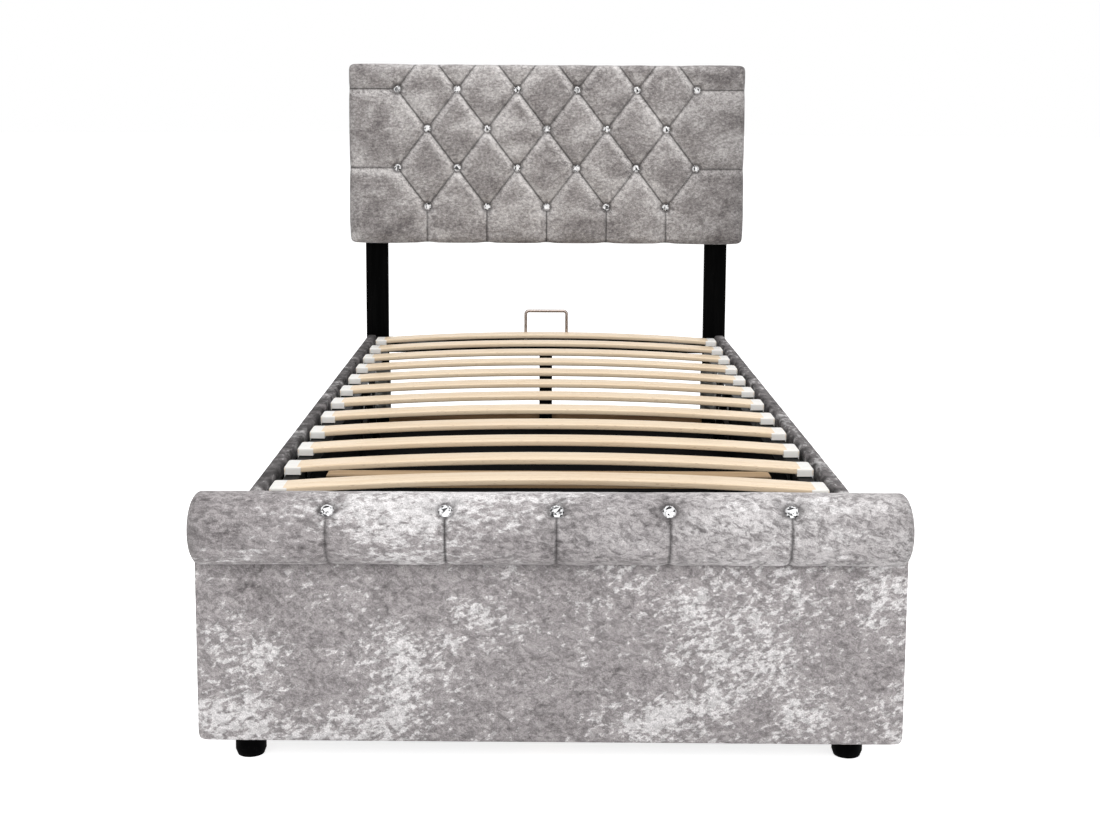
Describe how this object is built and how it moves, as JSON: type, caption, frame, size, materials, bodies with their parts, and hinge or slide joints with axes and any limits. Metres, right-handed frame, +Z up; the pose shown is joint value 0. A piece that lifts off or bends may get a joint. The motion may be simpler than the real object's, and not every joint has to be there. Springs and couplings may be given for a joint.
{
  "type": "storage bed",
  "caption": "Velvet storage bed whose slatted deck lifts from the foot end on gas struts, with a tufted headboard and a scroll-topped footboard.",
  "frame": {"origin": "centre of the overall box on the floor", "axes": "+Z up, +Y towards the headboard, +X to the right seen from the foot end"},
  "size_m": [1.027, 2.189, 1.041],
  "materials": {
    "velvet": "crushed velvet, silver grey",
    "board": "raw chipboard",
    "dark_board": "black lined board",
    "back_cloth": "black spun cloth",
    "crystal": "cut, silver backed",
    "black_timber": "painted black, satin",
    "pole_timber": "turned softwood",
    "zinc_steel": "zinc plated",
    "bare_timber": "bare sawn softwood",
    "black_plastic": "moulded, matt",
    "black_steel": "black powder coat",
    "bright_wire": "bright plated",
    "beech": "clear lacquered beech ply",
    "white_plastic": "moulded, slightly milky",
    "rod_chrome": "polished rod"
  },
  "bodies": {
    "base": {"headboard_board": "board", "headboard_cover": "velvet", "headboard_back_cloth": "back_cloth", "headboard_buttons": "crystal", "headboard_leg_right": "black_timber", "headboard_leg_left": "black_timber", "footboard_board": "board", "footboard_roll_core": "pole_timber", "footboard_roll_cover": "velvet", "footboard_panel_cover": "velvet", "footboard_buttons": "crystal", "side_rail_right": "dark_board", "side_rail_left": "dark_board", "rail_cover_right": "velvet", "rail_cover_left": "velvet", "corner_brackets": "zinc_steel", "leg_bolts": "zinc_steel", "ledger_right": "bare_timber", "ledger_left": "bare_timber", "floor_panel_foot": "dark_board", "floor_panel_head": "dark_board", "floor_bearer": "bare_timber", "bearer_feet": "black_plastic", "feet": "black_plastic", "head_cross_tube": "black_steel", "centre_leg": "black_steel", "low_head_rail": "bare_timber", "frame_stops": "black_plastic", "hinge_plate_right": "black_steel", "hinge_plate_left": "black_steel", "pivot_pins": "zinc_steel"},
    "lift_frame": {"lift_side_tube_right": "black_steel", "lift_side_tube_left": "black_steel", "lift_foot_tube": "black_steel", "lift_head_tube": "black_steel", "mattress_retainer": "bright_wire", "slat_01": "beech", "slat_02": "beech", "slat_03": "beech", "slat_04": "beech", "slat_05": "beech", "slat_06": "beech", "slat_07": "beech", "slat_08": "beech", "slat_09": "beech", "slat_10": "beech", "slat_11": "beech", "slat_12": "beech", "slat_13": "beech", "slat_caps_right": "white_plastic", "slat_caps_left": "white_plastic", "cross_brace": "bare_timber", "brace_brackets": "black_steel", "lift_arm_right": "black_steel", "lift_arm_left": "black_steel"},
    "gas_cylinder_right": {"strut_cylinder_right": "black_steel"},
    "gas_cylinder_left": {"strut_cylinder_left": "black_steel"},
    "gas_rod_right": {"strut_rod_right": "rod_chrome"},
    "gas_rod_left": {"strut_rod_left": "rod_chrome"}
  },
  "joints": [
    {"name": "lift_hinge", "type": "hinge", "parent": "base", "child": "lift_frame", "pos_m": [0, 0.7975, 0.262], "axis": [-1, 0, 0], "range_deg": [0, 38]},
    {"name": "cylinder_swing_right", "type": "hinge", "parent": "base", "child": "gas_cylinder_right", "pos_m": [0, 0.7395, 0.107], "axis": [-1, 0, 0], "range_deg": [0, 29.08]},
    {"name": "cylinder_swing_left", "type": "hinge", "parent": "base", "child": "gas_cylinder_left", "pos_m": [0, 0.7395, 0.107], "axis": [-1, 0, 0], "range_deg": [0, 29.08]},
    {"name": "rod_slide_right", "type": "slide", "parent": "gas_cylinder_right", "child": "gas_rod_right", "axis": [0, -0.8139, 0.581], "range_m": [0, 0.09485]},
    {"name": "rod_slide_left", "type": "slide", "parent": "gas_cylinder_left", "child": "gas_rod_left", "axis": [0, -0.8139, 0.581], "range_m": [0, 0.09485]}
  ],
  "couplings": [
    {"joint": "cylinder_swing_right", "follows": "lift_hinge", "ratio": 0.76507},
    {"joint": "cylinder_swing_left", "follows": "lift_hinge", "ratio": 0.76507},
    {"joint": "rod_slide_right", "follows": "lift_hinge", "m_per_rad": 0.14271},
    {"joint": "rod_slide_left", "follows": "lift_hinge", "m_per_rad": 0.14271}
  ]
}
